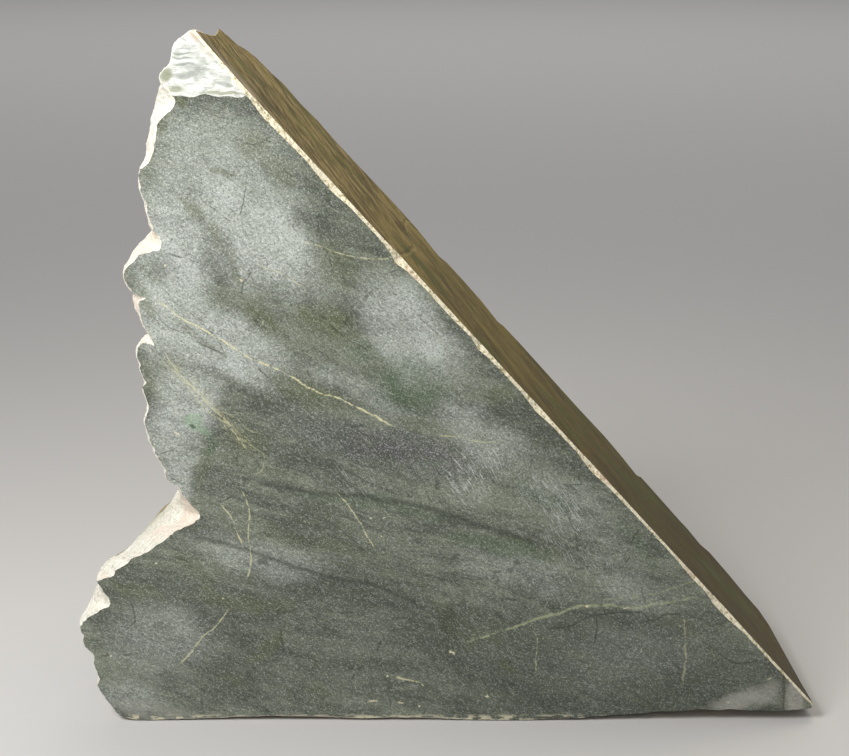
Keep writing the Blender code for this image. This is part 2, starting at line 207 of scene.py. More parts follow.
# Each point moves out or in along its own normal. Heights, depths and sizes are worked out in
# millimetres, and the move itself is in metres.
UNDERSIDE = 6.0
FADE_OF_SKIN = 2.5
stone.normal_update()
moves = {}
for vert in stone.verts:
    rough_faces = [face for face in vert.link_faces if face.material_index in GRAIN]
    if not rough_faces:
        continue
    outward = Vector((0.0, 0.0, 0.0))
    for face in rough_faces:
        outward += face.normal * max(face.calc_area(), 1e-9)
    outward.normalize()
    place = vert.co * 1000.0
    chipped = sum(face.material_index == CHIPS for face in rough_faces) / len(rough_faces)
    split = sum(face.material_index == SPALL for face in rough_faces) / len(rough_faces)
    edge_of_front = any(face.material_index == SAWN_FRONT for face in vert.link_faces)
    under = place.z < UNDERSIDE and outward.z < -0.3

    # The old skin begins where the fresh breaks end, along a wandering line.
    depth = (vert.co.y - FRONT) * 1000.0
    wander = 15.0 * lumps(place, 19.0, 3.0) + 5.0 * lumps(place, 6.0, 9.0)
    wander += 2.0 * lumps(place, 2.5, 17.0)
    fresh = min(1.0, max(0.0, (FRESH_DEPTH * 1000.0 + 2.0 - depth + wander) / FADE_OF_SKIN))

    broken = 0.34 * splinters(place, (5.0, 7.0, 3.6), 1.0)
    broken += 0.20 * splinters(place, (2.2, 3.0, 1.5), 5.0)
    broken += 0.16 * lumps(place, 1.3, 2.0) + 0.25 * lumps(place, 5.0, 4.0)
    weathered = 0.75 * lumps(place, 13.0, 6.0) + 0.42 * lumps(place, 5.0, 7.0)
    weathered += 0.22 * lumps(place, 2.2, 8.0)
    weathered -= 0.25 + 0.9 * pits(place, 7.0, 2.0) + 0.45 * pits(place, 3.2, 6.0)
    crumbs = 0.24 * splinters(place, (1.6, 1.2, 1.6), 8.0) + 0.16 * lumps(place, 0.9, 5.0) - 0.06
    steps = 0.16 * splinters(place, (7.0, 3.0, 1.3), 11.0) + 0.10 * lumps(place, 2.6, 12.0) - 0.08
    height = fresh * broken + (1.0 - fresh) * weathered
    height = chipped * crumbs + split * steps + (1.0 - chipped - split) * height
    if under:
        height *= 0.5

    # Where it meets the front, the break has a ragged lip and the spall a wavy foot.
    if edge_of_front and not under and chipped < 0.5 and split < 0.5:
        height += 0.55 * splinters(place, (2.6, 2.6, 2.6), 14.0) + 0.25 * lumps(place, 0.9, 15.0) - 0.1
    move = outward * height * MM
    if edge_of_front and split > 0.5:
        move.z += 0.0007 * lumps(place, 5.0, 16.0) - 0.0004 * (1.0 + math.sin(place.x * 0.9))

    # A point on a cut moves only within it, and one on two cuts only along their meeting line.
    for normal in on_cuts[vert]:
        move -= normal * move.dot(normal)
    if len(on_cuts[vert]) == 2:
        along = on_cuts[vert][0].cross(on_cuts[vert][1]).normalized()
        move = along * move.dot(along)
    vert[fresh_layer] = max(fresh, chipped, split)
    vert[relief_layer] = height
    moves[vert] = move
for vert, move in moves.items():
    vert.co += move

# No loose point passes a cut or leaves the block's own box.
BEHIND_CUT = 0.00003
for vert in loose:
    for point, outward in CUTS.values():
        over = (vert.co - point).dot(outward) + BEHIND_CUT
        if over > 0.0:
            vert.co -= outward * over
    for axis in range(3):
        vert.co[axis] = min(max(vert.co[axis], STONE_LOW[axis]), STONE_HIGH[axis])

# The cuts meet what is round them at a crisp line, and the rough faces run into each other.
CREASE = math.radians(38.0)
for face in stone.faces:
    face.smooth = face.material_index in GRAIN
for edge in stone.edges:
    if any(face.material_index in CUTS for face in edge.link_faces):
        edge.smooth = False
    elif edge.is_manifold and edge.calc_face_angle() > CREASE:
        edge.smooth = False
stone.to_mesh(block.data)
stone.free()
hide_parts("jade_boulder")
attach(block, "root")


# ---- The sawn front -----------------------------------------------------------------------------
# The big flat face, cut with a diamond saw and left unpolished. The stone is a felt of
# fibres that runs down to the right, darker and greener in bands, and the saw has frosted it
# with a pale bloom of fine scratches, painted paler still as the key lamp's sheen in the upper
# left. Thin cream seams and dark joints cross it. Glints are painted on its fibres and grains,
# and painted shade darkens its lower right.


def tint(code):
    """The linear colour of a hex code."""
    parts = [int(code[i:i + 2], 16) / 255.0 for i in (0, 2, 4)]
    return tuple(p / 12.92 if p < 0.04045 else ((p + 0.055) / 1.055) ** 2.4 for p in parts) + (1.0,)


def add(tree, kind, *values, **settings):
    """Adds a node, sets it, fills its inputs in order and gives its first output."""
    node = tree.nodes.new("ShaderNode" + kind)
    for name, value in settings.items():
        setattr(node, name, value)
    for socket, value in zip(node.inputs, values):
        if isinstance(value, bpy.types.NodeSocket):
            tree.links.new(value, socket)
        elif value is not None:
            socket.default_value = value
    return node.outputs[0]


def calc(tree, operation, *values):
    """Arithmetic on one to three values."""
    return add(tree, "Math", *values, operation=operation)


def ramp(tree, value, low, high, start=0.0, end=1.0):
    """Turns low to high smoothly into start to end."""
    return add(tree, "MapRange", value, low, high, start, end, interpolation_type="SMOOTHSTEP")


def lay(tree, under, over, amount):
    """Lays one colour over another by the given amount."""
    node = tree.nodes.new("ShaderNodeMix")
    node.data_type = "RGBA"
    for socket, value in ((node.inputs[0], amount), (node.inputs[6], under), (node.inputs[7], over)):
        if isinstance(value, bpy.types.NodeSocket):
            tree.links.new(value, socket)
        else:
            socket.default_value = value
    return node.outputs[2]


def grain(tree, place, sizes, turn=0.0, detail=3.0, rough=0.5, seed=0.0):
    """Cloudy noise in streaks of the given sizes in mm, turned down to the right in degrees."""
    start = (seed * 17.0, seed * 5.0, seed * -11.0)
    tilt = (0.0, math.radians(turn), 0.0)
    laid = add(tree, "Mapping", place, start, tilt, sizes, vector_type="TEXTURE")
    return add(tree, "TexNoise", laid, None, 1.0, detail, rough)


def bend(tree, place, size, reach, seed=0.0):
    """Pushes places about by up to the given reach, so that what is drawn there wanders."""
    start = (seed * 13.0, seed, seed * 7.0)
    laid = add(tree, "Mapping", place, start, None, (size,) * 3, vector_type="TEXTURE")
    noise_node = tree.nodes.new("ShaderNodeTexNoise")
    noise_node.inputs["Scale"].default_value = 1.0
    noise_node.inputs["Detail"].default_value = 1.0
    tree.links.new(laid, noise_node.inputs["Vector"])
    push = add(tree, "VectorMath", noise_node.outputs["Color"], (0.5, 0.5, 0.5), operation="SUBTRACT")
    push = add(tree, "VectorMath", push, (reach * 2.0,) * 3, operation="MULTIPLY")
    return add(tree, "VectorMath", place, push, operation="ADD")


def begin(material_name):
    """A clean material, its shader, and places on the stone in millimetres."""
    material = block.data.materials[material_name]
    material.use_nodes = True
    tree = material.node_tree
    shader = tree.nodes["Principled BSDF"]
    at = tree.nodes.new("ShaderNodeTexCoord").outputs["Object"]
    return tree, shader, add(tree, "VectorMath", at, (1000.0,) * 3, operation="MULTIPLY")


def finish(tree, shader, colour, roughness, relief, depth):
    """Joins the colour, the roughness and the fine relief, of a depth in metres, to the shader."""
    tree.links.new(colour, shader.inputs["Base Color"])
    tree.links.new(roughness, shader.inputs["Roughness"])
    bump = tree.nodes.new("ShaderNodeBump")
    bump.inputs["Distance"].default_value = depth
    tree.links.new(relief, bump.inputs["Height"])
    tree.links.new(bump.outputs["Normal"], shader.inputs["Normal"])


def spots(tree, place, marks):
    """Soft spots: x, z, half length and half height in mm, turn in degrees and strength of each."""
    total = None
    for x, z, long, high, turn, strength in marks:
        tilt = (0.0, math.radians(turn), 0.0)
        size = (long, 1000.0, high)
        inside = add(tree, "Mapping", place, (x, 0.0, z), tilt, size, vector_type="TEXTURE")
        near = add(tree, "TexGradient", inside, gradient_type="SPHERICAL").node.outputs["Fac"]
        spot = ramp(tree, near, 0.0, 0.65, 0.0, strength)
        total = spot if total is None else calc(tree, "MAXIMUM", total, spot)
    return total


def seam(tree, place, points, width, strength=1.0, beads=None, fade=0.06):
    """A thin seam through the given x and z in mm: strongest in its middle, fading at its ends."""
    parts = tree.nodes.new("ShaderNodeSeparateXYZ")
    tree.links.new(place, parts.inputs[0])
    xs, zs = zip(*points)
    upright = max(zs) - min(zs) > max(xs) - min(xs)
    run, rise = ("Z", "X") if upright else ("X", "Z")
    course = sorted((z, x) if upright else (x, z) for x, z in points)
    first, last = course[0][0], course[-1][0]
    low = min(across for along, across in course)
    span = max(max(across for along, across in course) - low, 1.0)
    along = add(tree, "MapRange", parts.outputs[run], first, last, 0.0, 1.0)
    curve = tree.nodes.new("ShaderNodeFloatCurve")
    line = curve.mapping.curves[0]
    while len(line.points) < len(course):
        line.points.new(0.5, 0.5)
    for point, (where, across) in zip(line.points, course):
        point.location = ((where - first) / (last - first), (across - low) / span)
    curve.mapping.update()
    tree.links.new(along, curve.inputs["Value"])
    middle = calc(tree, "MULTIPLY_ADD", curve.outputs[0], span, low)
    slope = math.cos(math.atan2(span, last - first))
    off = calc(tree, "ABSOLUTE", calc(tree, "SUBTRACT", parts.outputs[rise], middle))
    reach = width / slope
    if beads is not None:
        reach = calc(tree, "MULTIPLY_ADD", beads, width * 0.9 / slope, width * 0.35 / slope)
        strength = calc(tree, "MULTIPLY", ramp(tree, beads, 0.1, 0.65, 0.25, 1.0), strength)
    inside = ramp(tree, off, reach, 0.0, 0.0, strength)
    ends = calc(tree, "MINIMUM", along, calc(tree, "SUBTRACT", 1.0, along))
    return calc(tree, "MULTIPLY", inside, ramp(tree, ends, 0.0, fade))


def seams(tree, place, lines, beads=None):
    """Several seams together: the points, the half width in mm and the strength of each."""
    total = 0.0
    for points, width, strength in lines:
        total = calc(tree, "MAXIMUM", total, seam(tree, place, points, width, strength, beads))
    return total


tree, shader, place = begin("sawn_front")
flow = bend(tree, bend(tree, place, 70.0, 10.0, 1.0), 16.0, 1.5, 2.0)
ragged = bend(tree, bend(tree, place, 14.0, 3.0, 3.0), 3.0, 1.2, 4.0)
shaken = bend(tree, bend(tree, place, 9.0, 0.9, 5.0), 1.6, 0.35, 6.0)

bands = grain(tree, flow, (36.0, 36.0, 9.0), 14.0, 5.0, 0.68, 1.0)
mottle = grain(tree, ragged, (8.0, 8.0, 4.0), 24.0, 4.0, 0.72, 2.0)
fibres = grain(tree, flow, (5.5, 5.5, 0.5), 20.0, 3.0, 0.62, 3.0)
steep = grain(tree, flow, (6.0, 6.0, 0.6), 50.0, 3.0, 0.62, 4.0)
speck = grain(tree, place, (0.42, 0.42, 0.36), 20.0, 1.0, 0.6, 8.0)
coarse = grain(tree, place, (0.95, 0.95, 0.6), 30.0, 2.0, 0.6, 11.0)
clouds = grain(tree, place, (36.0, 36.0, 26.0), 20.0, 2.0, 0.6, 5.0)
parts = tree.nodes.new("ShaderNodeSeparateXYZ")
tree.links.new(place, parts.inputs[0])
rise = calc(tree, "MULTIPLY_ADD", parts.outputs["X"], 0.30, parts.outputs["Z"])
upper = ramp(tree, calc(tree, "MULTIPLY_ADD", clouds, 40.0, rise), 70.0, 150.0)

lean = calc(tree, "MULTIPLY", upper, 0.75)
felt = calc(tree, "MULTIPLY_ADD", calc(tree, "SUBTRACT", steep, fibres), lean, fibres)
felt = ramp(tree, felt, 0.32, 0.68)
cross = grain(tree, flow, (5.0, 5.0, 0.5), -26.0, 2.0, 0.62, 18.0)
cross = ramp(tree, cross, 0.34, 0.66)
felt = calc(tree, "MULTIPLY_ADD", cross, 0.6, felt)
tone = calc(tree, "MULTIPLY_ADD", ramp(tree, mottle, 0.3, 0.7), 0.50, ramp(tree, bands, 0.32, 0.66))
tone = calc(tree, "MULTIPLY_ADD", felt, 0.26, tone)
colour = lay(tree, tint("3f4438"), tint("757b6a"), ramp(tree, tone, 0.25, 1.70))
# Darker along the bottom and most at the lower right: partly darker stone, partly painted shade.
low_right_tone_and_shade = spots(tree, flow, (
    (50.0, 14.0, 80.0, 36.0, 0.0, 0.72), (-44.0, 30.0, 70.0, 34.0, 0.0, 0.40),
    (-90.0, 44.0, 34.0, 12.0, 10.0, 0.25),
))
colour = lay(tree, colour, tint("3a4035"), low_right_tone_and_shade)

# Dark green wisps, where the felt is thin and the light goes in.
fold = grain(tree, flow, (60.0, 60.0, 9.0), 13.0, 5.0, 0.68, 6.0)
fold = ramp(tree, calc(tree, "ABSOLUTE", calc(tree, "SUBTRACT", fold, 0.5)), 0.030, 0.0)
wisps = calc(tree, "MULTIPLY", fold, ramp(tree, mottle, 0.40, 0.62))
wisps = calc(tree, "MULTIPLY", wisps, ramp(tree, upper, 0.0, 1.0, 0.7, 0.25))
colour = lay(tree, colour, tint("30382a"), wisps)

# Olive and green stains.
olive = spots(tree, ragged, (
    (-57.6, 186.8, 9.0, 6.0, 30.0, 0.8), (-51.0, 180.0, 10.0, 6.0, 45.0, 0.8),
    (-66.4, 178.8, 5.0, 1.6, 0.0, 0.8), (-76.0, 167.5, 9.0, 3.0, 50.0, 0.8),
    (-68.0, 158.0, 10.0, 3.6, 52.0, 0.9), (-63.5, 149.5, 5.5, 1.8, 75.0, 0.9),
    (-88.8, 148.3, 7.0, 4.5, 40.0, 0.7), (-91.0, 139.0, 7.0, 2.6, 60.0, 0.8),
    (-56.9, 134.0, 10.0, 5.0, 40.0, 0.9), (-37.5, 134.0, 15.0, 8.0, 30.0, 0.9),
    (-90.5, 191.0, 8.0, 3.0, -68.0, 0.8), (-35.7, 151.3, 14.0, 7.0, 30.0, 0.7),
    (-76.0, 129.0, 14.0, 2.0, 32.0, 0.8), (-84.1, 193.6, 5.0, 3.0, -60.0, 0.9),
    (-78.6, 200.8, 3.5, 2.4, 0.0, 0.9), (-45.0, 112.0, 18.0, 6.0, 28.0, 0.8),
    (-11.0, 101.0, 9.0, 3.5, 15.0, 0.7), (16.0, 110.0, 7.0, 5.0, 0.0, 0.7),
    (-66.0, 42.0, 26.0, 4.0, 8.0, 0.6), (-98.0, 46.0, 17.0, 3.4, 12.0, 0.7),
    (-58.0, 27.0, 12.0, 3.6, -40.0, 0.7), (19.0, 19.5, 4.0, 2.2, 20.0, 0.7),
    (-76.0, 86.0, 3.2, 12.0, 12.0, 0.7), (-40.0, 62.0, 30.0, 4.0, 14.0, 0.5),
    (-62.0, 96.0, 9.0, 5.0, 20.0, 0.6),
))
green = spots(tree, ragged, (
    (-11.8, 113.8, 16.0, 12.0, 20.0, 0.8), (16.0, 61.0, 26.0, 4.5, 14.0, 0.75),
    (-20.0, 75.0, 34.0, 3.2, 8.0, 0.6), (-24.0, 124.0, 9.0, 5.0, 0.0, 0.5),
    (60.0, 62.0, 14.0, 3.0, 50.0, 0.6), (30.0, 78.0, 16.0, 4.0, 30.0, 0.4),
    (-74.0, 94.0, 3.0, 6.0, 10.0, 0.7),
))
drift = grain(tree, ragged, (30.0, 30.0, 10.0), 28.0, 4.0, 0.68, 7.0)
stained = calc(tree, "MAXIMUM", olive, ramp(tree, drift, 0.52, 0.70, 0.0, 0.6))
patchy = ramp(tree, calc(tree, "MULTIPLY_ADD", coarse, 0.4, mottle), 0.50, 0.85, 0.2, 0.9)
stained = calc(tree, "MULTIPLY", stained, patchy)
colour = lay(tree, colour, tint("4f5630"), stained)
colour = lay(tree, colour, tint("38502f"), calc(tree, "MULTIPLY", green, 0.78))

deep = spots(tree, ragged, ((0.6, 33.5, 4.4, 10.0, 4.0, 0.75), (6.0, 27.0, 12.0, 3.0, -10.0, 0.5)))
colour = lay(tree, colour, tint("343c22"), deep)

# Dusky purple grains in the darkest layer.
dusk = spots(tree, bend(tree, ragged, 7.0, 3.0, 19.0), (
    (-13.4, 92.8, 34.0, 10.0, 14.0, 0.7), (-29.5, 96.0, 22.0, 8.0, 10.0, 0.5),
))
dusky = ramp(tree, calc(tree, "MULTIPLY_ADD", coarse, 0.8, mottle), 0.70, 1.0)
dusky = calc(tree, "MULTIPLY", dusk, dusky)
colour = lay(tree, colour, tint("37343a"), dusky)

# The frosted bloom of the saw: pale and cool, with the stains dimmed under it. It is partly
# painted sheen, laid thickest in the upper left where the key lamp's broad highlight falls.
bloom_and_sheen = spots(tree, bend(tree, ragged, 24.0, 7.0, 7.0), (
    (-66.0, 176.0, 36.0, 26.0, 40.0, 0.62), (-58.0, 160.0, 34.0, 18.0, 42.0, 1.0),
    (-84.0, 150.0, 18.0, 40.0, 0.0, 0.95), (-12.0, 131.0, 26.0, 14.0, 44.0, 0.95),
    (10.0, 98.0, 24.0, 9.0, 42.0, 0.55), (8.0, 84.0, 9.0, 16.0, 0.0, 0.2),
    (-44.0, 101.0, 16.0, 10.0, 20.0, 0.12), (-68.0, 126.0, 30.0, 14.0, 28.0, 0.95),
    (-82.0, 106.0, 14.0, 24.0, 20.0, 0.85), (-26.0, 112.0, 30.0, 7.0, 25.0, 0.35),
    (-84.0, 84.0, 10.0, 14.0, 30.0, 0.8), (40.0, 74.0, 30.0, 12.0, 40.0, 0.24),
    (22.0, 52.0, 26.0, 9.0, 20.0, 0.30), (58.0, 48.0, 20.0, 10.0, 30.0, 0.25),
    (-60.0, 58.0, 28.0, 8.0, 14.0, 0.4), (60.0, 24.0, 34.0, 14.0, 0.0, 0.15),
    (-92.0, 28.0, 22.0, 16.0, 0.0, 0.4), (-104.0, 8.0, 16.0, 9.0, 0.0, 0.45),
))
hidden = calc(tree, "MULTIPLY_ADD", calc(tree, "MAXIMUM", olive, green), -0.62, 1.0)
cloudlets = grain(tree, flow, (12.0, 12.0, 7.5), 34.0, 5.0, 0.76, 9.0)
cloudlets = calc(tree, "MULTIPLY_ADD", mottle, 0.45, cloudlets)
cloudlets = calc(tree, "MULTIPLY_ADD", felt, 0.16, calc(tree, "MULTIPLY_ADD", coarse, 0.50, cloudlets))
frost_and_sheen = ramp(tree, cloudlets, 0.86, 1.38, 0.44, 1.0)
frost_and_sheen = calc(tree, "MULTIPLY", calc(tree, "MULTIPLY", frost_and_sheen, bloom_and_sheen), hidden)
colour = lay(tree, colour, tint("bcc1ba"), calc(tree, "MULTIPLY", frost_and_sheen, 0.86))

# Silvery fibres and short scratches. The silvery fibres are partly pale and partly painted
# glints where they catch the light.
glint = ramp(tree, grain(tree, flow, (4.0, 4.0, 0.38), 56.0, 2.0, 0.6, 13.0), 0.52, 0.70)
silver_glints = spots(tree, ragged, (
    (8.0, 86.0, 11.0, 16.0, 10.0, 1.0), (34.0, 74.0, 24.0, 9.0, 44.0, 0.6),
    (-28.0, 82.0, 9.0, 9.0, 40.0, 0.4), (40.0, 56.0, 30.0, 8.0, 30.0, 0.3),
))
silver_glints = calc(tree, "MULTIPLY", glint, calc(tree, "ADD", silver_glints, 0.16))
colour = lay(tree, colour, tint("b9bdb8"), silver_glints)
scratches = grain(tree, flow, (7.0, 7.0, 0.26), 19.0, 2.0, 0.6, 15.0)
scratches = ramp(tree, scratches, 0.58, 0.74, 0.0, 0.36)
colour = lay(tree, colour, tint("a9ac98"), scratches)

# Single grains, bright and dark, that show as a fine sparkle. The bright ones are partly
# pale grains and partly painted glints of tiny facets.
grains = calc(tree, "MULTIPLY_ADD", coarse, 0.5, speck)
glints_and_pale_grains = ramp(tree, grains, 0.78, 1.0)
glints_and_pale_grains = calc(tree, "MULTIPLY", glints_and_pale_grains, calc(tree, "MULTIPLY_ADD", frost_and_sheen, 0.34, 0.26))
colour = lay(tree, colour, tint("dadfd8"), glints_and_pale_grains)
pepper = ramp(tree, grains, 0.74, 0.50)
pepper = calc(tree, "MULTIPLY", pepper, 0.52)
colour = lay(tree, colour, tint("343a31"), pepper)
# Painted lilac grey glints on the grains of the dusky layer.
dusk_glints = ramp(tree, calc(tree, "MULTIPLY_ADD", mottle, 0.5, grains), 0.98, 1.20)
dusk_glints = calc(tree, "MULTIPLY", dusk_glints, dusk)
colour = lay(tree, colour, tint("a3a2a2"), calc(tree, "MULTIPLY", dusk_glints, 0.55))

# Dark layers, and fine dark joints.
dark = seams(tree, shaken, (
    (((-60.5, 82.9), (-50.9, 80.3), (-41.5, 78.6), (-30.6, 78.0), (-21.6, 76.6), (-11.9, 75.3),
      (-4.0, 73.0), (3.2, 70.3), (16.0, 66.0), (30.0, 61.0)), 1.5, 0.55),
    (((-83.6, 64.3), (-73.3, 62.3), (-64.3, 59.9), (-49.9, 54.5), (-37.9, 50.4), (-21.8, 47.0),
      (-5.6, 37.3)), 1.3, 0.55),
    (((-100.7, 42.2), (-99.6, 38.4), (-99.8, 35.6), (-101.1, 33.9), (-103.1, 32.1)), 0.5, 0.7),
    (((30.9, 32.1), (40.8, 34.2), (46.7, 37.0), (55.0, 38.0), (61.7, 38.4), (65.0, 35.6),
      (71.0, 37.7), (75.8, 36.3)), 0.55, 0.75),
    (((47.1, 37.3), (47.8, 32.1), (47.0, 27.3)), 0.4, 0.7),
    (((61.1, 46.6), (63.5, 41.0), (66.3, 35.6)), 0.4, 0.6),
    (((80.9, 28.7), (85.9, 25.2), (89.3, 22.4), (92.6, 20.6), (95.8, 20.3), (99.9, 21.7)), 0.4, 0.7),
    (((-77.2, 128.0), (-72.7, 125.5), (-68.2, 123.3)), 0.3, 0.7),
    (((-60.3, 175.2), (-61.0, 171.1), (-62.3, 166.5)), 0.25, 0.7),
    (((-9.3, 134.9), (-5.7, 132.1), (-2.6, 129.6)), 0.25, 0.6),
    (((-88.0, 135.5), (-84.5, 132.0), (-80.0, 130.0)), 0.3, 0.6),
    (((-92.5, 91.1), (-84.7, 92.8)), 0.3, 0.6),
    (((-70.6, 96.0), (-66.0, 95.0), (-60.0, 92.0), (-56.0, 92.0)), 0.5, 0.6),
))
colour = lay(tree, colour, tint("262b21"), dark)
cells = bend(tree, flow, 12.0, 4.0, 10.0)
tilt = (0.0, math.radians(24.0), 0.0)
cells = add(tree, "Mapping", cells, None, tilt, (42.0, 42.0, 20.0), vector_type="TEXTURE")
crazed = tree.nodes.new("ShaderNodeTexVoronoi")
crazed.feature = "DISTANCE_TO_EDGE"
crazed.inputs["Scale"].default_value = 1.0
tree.links.new(cells, crazed.inputs["Vector"])
joints = ramp(tree, crazed.outputs["Distance"], 0.014, 0.003)
joints = calc(tree, "MULTIPLY", joints, ramp(tree, mottle, 0.50, 0.60, 0.0, 0.6))
colour = lay(tree, colour, tint("2b3026"), joints)

# Cream and pale green seams, broken into beads.
beads = ramp(tree, grain(tree, place, (2.6, 2.6, 2.6), 0.0, 3.0, 0.75, 14.0), 0.32, 0.66)
cream = seams(tree, shaken, (
    (((-89.4, 141.1), (-84.4, 138.0), (-81.4, 135.5), (-76.4, 132.4), (-71.6, 129.3), (-63.6, 124.2),
      (-60.6, 122.4), (-52.4, 118.5), (-47.0, 115.7), (-40.9, 111.8), (-33.0, 109.0), (-25.3, 105.4),
      (-18.9, 101.6), (-15.2, 100.3)), 0.50, 0.95),
    (((-86.5, 124.2), (-80.7, 115.4), (-75.4, 109.6), (-72.8, 105.7), (-69.8, 103.2), (-66.8, 99.3),
      (-64.5, 95.4), (-62.1, 92.1)), 0.5, 0.5),
    (((-88.0, 122.0), (-82.4, 116.6), (-77.6, 109.4), (-73.0, 104.0), (-66.0, 100.4)), 0.3, 0.35),
    (((-73.0, 105.0), (-67.0, 104.0), (-61.0, 99.0), (-57.0, 98.0)), 0.3, 0.3),
    (((-66.0, 98.0), (-61.0, 94.0), (-57.0, 89.0), (-64.0, 84.0)), 0.35, 0.3),
    (((-71.0, 75.0), (-68.3, 71.0), (-66.6, 66.0), (-64.8, 61.6)), 0.42, 0.75),
    (((-66.5, 80.0), (-62.3, 72.0), (-62.6, 64.3), (-62.4, 57.5), (-63.6, 49.7)), 0.42, 0.65),
    (((-69.9, 40.1), (-72.3, 35.3), (-78.3, 29.7), (-83.3, 23.1), (-86.0, 19.9)), 0.4, 0.6),
    (((-35.6, 79.6), (-33.1, 77.0), (-30.4, 73.0), (-28.2, 69.6), (-26.4, 66.0),
      (-22.9, 59.6)), 0.32, 0.75),
    (((-44.0, 158.4), (-38.6, 157.1), (-34.2, 155.6), (-29.1, 154.1), (-23.4, 152.9),
      (-15.6, 153.8)), 0.35, 0.6),
    (((-58.5, 152.2), (-55.3, 150.4), (-49.6, 148.3), (-44.9, 145.2), (-43.4, 144.2)), 0.32, 0.5),
    (((-3.0, 97.4), (3.0, 97.0), (11.0, 95.4), (18.0, 96.0)), 0.4, 0.5),
    (((28.4, 30.1), (28.8, 23.4), (28.6, 15.3)), 0.4, 0.4),
    (((75.5, 36.3), (76.3, 25.2), (75.9, 11.8)), 0.5, 0.35),
    (((-16.5, 15.3), (-12.0, 14.6), (-7.2, 12.5)), 0.45, 0.8),
), beads)
colour = lay(tree, colour, tint("d2cda2"), cream)
course = ((-88.0, 126.0), (-80.7, 115.8), (-75.4, 109.4), (-69.8, 103.2), (-64.5, 96.4), (-58.0, 89.0))
braid = seam(tree, shaken, course, 3.6, 0.7, fade=0.2)
strands = ramp(tree, calc(tree, "ABSOLUTE", calc(tree, "SUBTRACT", steep, 0.5)), 0.032, 0.006)
colour = lay(tree, colour, tint("c3bf93"), calc(tree, "MULTIPLY", braid, strands))
leek = seams(tree, shaken, (
    (((5.0, 27.6), (11.7, 29.7), (18.4, 32.1), (28.3, 35.6), (37.5, 38.4), (44.1, 40.5), (51.7, 40.5),
      (60.7, 39.8), (66.1, 41.1), (72.4, 42.2), (80.6, 44.2)), 0.85, 0.6),
    (((48.5, 42.5), (61.2, 43.6), (73.7, 47.7), (80.0, 49.4)), 0.5, 0.4),
), beads)
colour = lay(tree, colour, tint("a9b088"), leek)

# Small chips and flecks, the light green spot, and the pale wedge at the tip.
spot = spots(tree, ragged, ((-78.6, 101.6, 4.6, 3.2, 50.0, 0.46), (-76.0, 98.6, 2.6, 1.8, 20.0, 0.4)))
colour = lay(tree, colour, tint("7d9f76"), spot)
colour = lay(tree, colour, tint("2c4a2c"), spots(tree, ragged, ((-78.8, 99.9, 1.6, 0.9, 30.0, 0.8),)))
tip = spots(tree, ragged, (
    (96.0, 8.0, 14.0, 4.2, -20.0, 0.7), (103.0, 9.0, 7.0, 5.0, -30.0, 0.6),
    (113.0, 8.0, 4.6, 8.0, 0.0, 0.85), (-97.0, 4.0, 18.0, 5.0, 10.0, 0.35),
))
tip = calc(tree, "MULTIPLY", tip, ramp(tree, cloudlets, 0.86, 1.30, 0.6, 1.0))
colour = lay(tree, colour, tint("a8a69c"), tip)
edge_line = seam(tree, shaken, ((108.1, 18.1), (108.9, 11.1), (109.2, 3.9)), 0.6, 0.8)
colour = lay(tree, colour, tint("463d24"), edge_line)
colour = lay(tree, colour, tint("5c6040"), seam(tree, shaken, ((115.4, 12.0), (115.6, 5.0)), 0.8, 0.6))
chipped = bend(tree, place, 0.9, 0.55, 12.0)
flecks = spots(tree, chipped, (
    (1.5, 24.3, 1.6, 0.6, 28.0, 0.8), (-92.2, 55.2, 0.5, 0.4, 0.0, 0.8),
    (-24.1, 70.3, 0.6, 0.3, 0.0, 0.7), (-20.0, 70.3, 0.7, 0.3, 0.0, 0.8),
    (-21.0, 64.3, 0.6, 0.3, 20.0, 0.6), (-108.1, 23.1, 0.5, 0.3, 40.0, 0.8),
    (-19.1, 16.0, 0.6, 0.4, 20.0, 0.8), (-9.1, 5.4, 0.5, 0.4, 0.0, 0.8),
    (12.9, 8.9, 0.9, 0.4, 10.0, 0.8), (-84.0, 98.2, 1.4, 0.4, 30.0, 0.8),
    (-85.3, 151.0, 0.4, 0.6, 0.0, 0.8), (56.9, 39.8, 1.4, 0.3, 0.0, 0.6),
    (-62.6, 146.6, 0.6, 0.6, 0.0, 0.7), (104.0, 15.0, 1.2, 0.4, -30.0, 0.6),
    (111.2, 15.6, 1.0, 1.6, 30.0, 0.8), (118.4, 6.4, 0.7, 0.9, 0.0, 0.8),
    (-24.0, 7.2, 1.9, 0.4, 0.0, 0.7), (-15.0, 6.6, 1.4, 0.5, 0.0, 0.7),
    (-56.4, 133.6, 0.4, 1.0, 10.0, 0.5), (-71.4, 43.0, 0.6, 0.4, 0.0, 0.6),
    (-45.0, 69.0, 0.4, 0.3, 0.0, 0.6), (91.0, 6.6, 1.0, 0.4, 0.0, 0.6),
    (44.5, 40.4, 1.0, 0.6, 0.0, 0.7), (-102.0, 141.0, 0.4, 0.3, 0.0, 0.7),
))
colour = lay(tree, colour, tint("ddd3b2"), flecks)
foot = ramp(tree, grain(tree, place, (4.0, 4.0, 1.4), 0.0, 2.0, 0.65, 17.0), 0.48, 0.58, 0.0, 0.85)
foot = calc(tree, "MULTIPLY", foot, ramp(tree, parts.outputs["Z"], 2.8, 1.4))
colour = lay(tree, colour, tint("c9c2a6"), foot)

polish = ramp(tree, calc(tree, "MULTIPLY_ADD", speck, 0.4, bloom_and_sheen), 0.0, 1.2, 0.40, 0.62)
relief = calc(tree, "MULTIPLY_ADD", felt, 0.2, speck)
finish(tree, shader, colour, polish, relief, depth=0.00012)
IOR_OF_NEPHRITE = 1.61
shader.inputs["IOR"].default_value = IOR_OF_NEPHRITE
